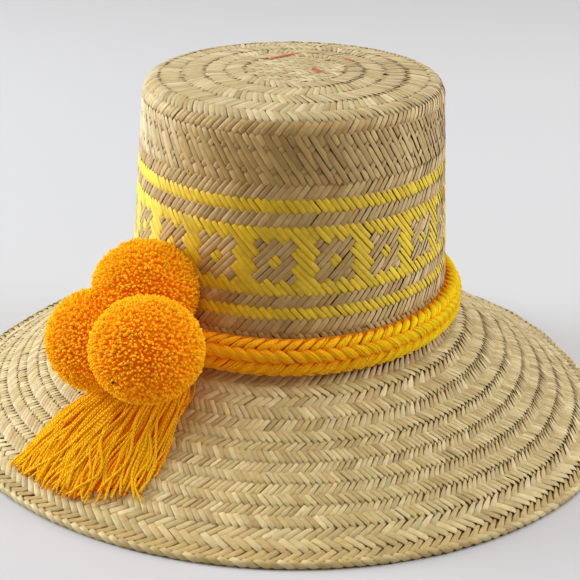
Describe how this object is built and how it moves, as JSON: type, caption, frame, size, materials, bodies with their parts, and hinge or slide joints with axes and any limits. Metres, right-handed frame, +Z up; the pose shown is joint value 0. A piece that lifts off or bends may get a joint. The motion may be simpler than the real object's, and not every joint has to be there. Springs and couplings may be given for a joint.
{
  "type": "plaited straw sun hat",
  "caption": "Plaited palm-straw sun hat with a yellow geometric weave, a braided yarn band, pompoms and a yarn tassel.",
  "frame": {"origin": "the middle of the hat's outline on the plane that the rim rests on", "axes": "+Z up through the crown, -Y to the front of the hat, +X to the right as seen from the front"},
  "size_m": [0.3708, 0.3826, 0.19],
  "materials": {
    "straw": "plaited palm straw, dry with a slight sheen",
    "band_yarn": "soft braided yarn",
    "pompom_yarn": "cut yarn ends",
    "tassel_yarn": "twisted yarn"
  },
  "bodies": {
    "root": {"hat_body": "straw", "hat_band": "band_yarn", "pompom_front": "pompom_yarn", "pompom_top": "pompom_yarn", "pompom_left": "pompom_yarn", "tassel": "tassel_yarn"}
  },
  "joints": []
}
